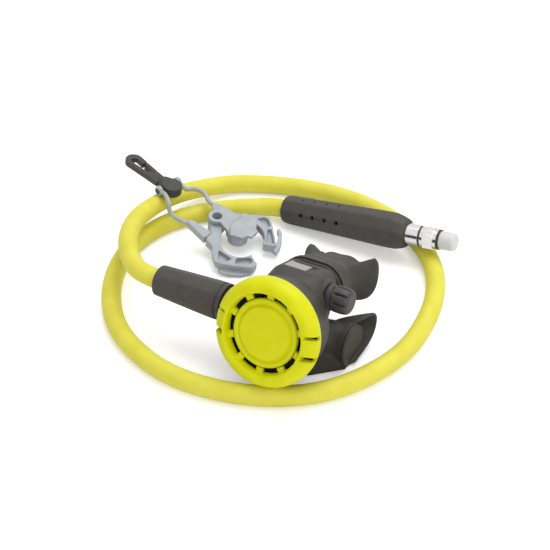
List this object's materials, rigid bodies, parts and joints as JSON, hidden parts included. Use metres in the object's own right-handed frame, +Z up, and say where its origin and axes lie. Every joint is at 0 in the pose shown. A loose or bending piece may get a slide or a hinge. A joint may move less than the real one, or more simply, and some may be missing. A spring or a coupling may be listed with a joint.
{
  "type": "scuba octopus regulator on a hose with a mouthpiece holder",
  "caption": "Scuba octopus second stage with a purge cover, exhaust tee and mouthpiece on a looped hose, beside a two-jaw holder with a snap hook.",
  "frame": {"origin": "bottom centre of the box round the second stage and the holder, on the surface that the set lies on", "axes": "+X along the second stage's inlet towards its knob, -Y out of its cover side, +Z up"},
  "size_m": [0.2513, 0.2384, 0.0759],
  "materials": {
    "yellow_cover": "satin lemon-yellow moulding",
    "hose_yellow": "matte yellow hose jacket",
    "black_plastic": "dark grey satin moulding",
    "black_rubber": "dark grey moulded rubber",
    "sleeve_rubber": "dark grey hose protector",
    "knob_plastic": "dark purple-grey moulding",
    "holder_grey": "light blue-grey nylon",
    "hook_plastic": "dark grey acetal",
    "chrome_fitting": "polished plating",
    "steel": "spring steel",
    "brass_valve": "plated brass",
    "clear_cap": "milky translucent plastic",
    "label": "plain light grey plate"
  },
  "bodies": {
    "second_stage": {"cover_ring": "yellow_cover", "purge_spring": "steel", "diaphragm": "black_rubber", "diaphragm_ring": "black_plastic", "case": "black_plastic", "label_plate": "label", "valve_barrel": "brass_valve", "inlet_fitting": "chrome_fitting", "inlet_nut": "black_plastic", "barrel_plug": "brass_valve", "poppet_spring": "steel", "exhaust_valve": "black_rubber", "exhaust_tee": "black_rubber", "mouthpiece": "black_rubber", "mouthpiece_tie": "black_plastic", "hose_nut": "chrome_fitting", "ferrule_a": "chrome_fitting", "hose_sleeve_a": "sleeve_rubber", "hose": "hose_yellow", "hose_sleeve_b": "sleeve_rubber", "ferrule_b": "chrome_fitting", "ferrule_ring": "black_rubber", "end_fitting": "chrome_fitting", "fitting_ring": "black_rubber"},
    "purge": {"purge_button": "yellow_cover", "diaphragm_plate": "steel"},
    "lever": {"demand_lever": "steel"},
    "poppet": {"poppet": "brass_valve", "poppet_seat": "black_rubber"},
    "knob": {"venturi_knob": "knob_plastic"},
    "cap": {"thread_cap": "clear_cap"},
    "holder": {"clamp_plate": "holder_grey", "mouth_plug": "holder_grey", "pivot_pin": "holder_grey", "right_arm": "holder_grey"},
    "jaw": {"left_jaw": "holder_grey", "left_arm": "holder_grey"},
    "base": {"swivel_base": "hook_plastic"},
    "hook": {"snap_hook": "hook_plastic"},
    "gate": {"snap_gate": "hook_plastic"}
  },
  "joints": [
    {"name": "purge_press", "type": "slide", "parent": "second_stage", "child": "purge", "axis": [0, 0.9537, -0.3007], "range_m": [0, 0.003], "stiffness_N_per_m": 300, "springref_m": -0.002, "deforming": ["diaphragm", "purge_spring"]},
    {"name": "lever_tilt", "type": "hinge", "parent": "second_stage", "child": "lever", "pos_m": [0.0893, -0.0491, 0.03884], "axis": [0, 0.3007, 0.9537], "range_deg": [-9.7, 0]},
    {"name": "poppet_lift", "type": "slide", "parent": "second_stage", "child": "poppet", "axis": [1, 0, 0], "range_m": [0, 0.0004], "deforming": ["poppet_spring"]},
    {"name": "knob_turn", "type": "hinge", "parent": "second_stage", "child": "knob", "pos_m": [0.0973, -0.02569, 0.05158], "axis": [1, 0, 0], "range_deg": [0, 90]},
    {"name": "cap_pull", "type": "slide", "parent": "second_stage", "child": "cap", "axis": [0.9945, 0, 0.1045], "range_m": [0, 0.03]},
    {"name": "holder_lift", "type": "slide", "parent": "second_stage", "child": "holder", "axis": [0, 0, 1], "range_m": [0, 0.1]},
    {"name": "jaw_open", "type": "hinge", "parent": "holder", "child": "jaw", "pos_m": [-0.03426, 0.06165, 0.01431], "axis": [0.155, -0.134, 0.9788], "range_deg": [-20, 4], "deforming": ["left_arm"]},
    {"name": "base_swing", "type": "hinge", "parent": "holder", "child": "base", "pos_m": [-0.0711, 0.0596, 0.0302], "axis": [0.2588, 0.9659, 0], "range_deg": [-18, 18]},
    {"name": "hook_swivel", "type": "hinge", "parent": "base", "child": "hook", "pos_m": [-0.07684, 0.06114, 0.03104], "axis": [-0.9565, 0.2563, 0.1392], "continuous": true},
    {"name": "gate_press", "type": "hinge", "parent": "hook", "child": "gate", "pos_m": [-0.08624, 0.06624, 0.0325], "axis": [0.1344, -0.036, 0.9903], "range_deg": [0, 8], "stiffness_Nm_per_rad": 0.05, "springref_deg": -5.16}
  ],
  "couplings": [
    {"joint": "lever_tilt", "follows": "purge_press", "rad_per_m": -56},
    {"joint": "poppet_lift", "follows": "purge_press", "ratio": 0.123}
  ]
}
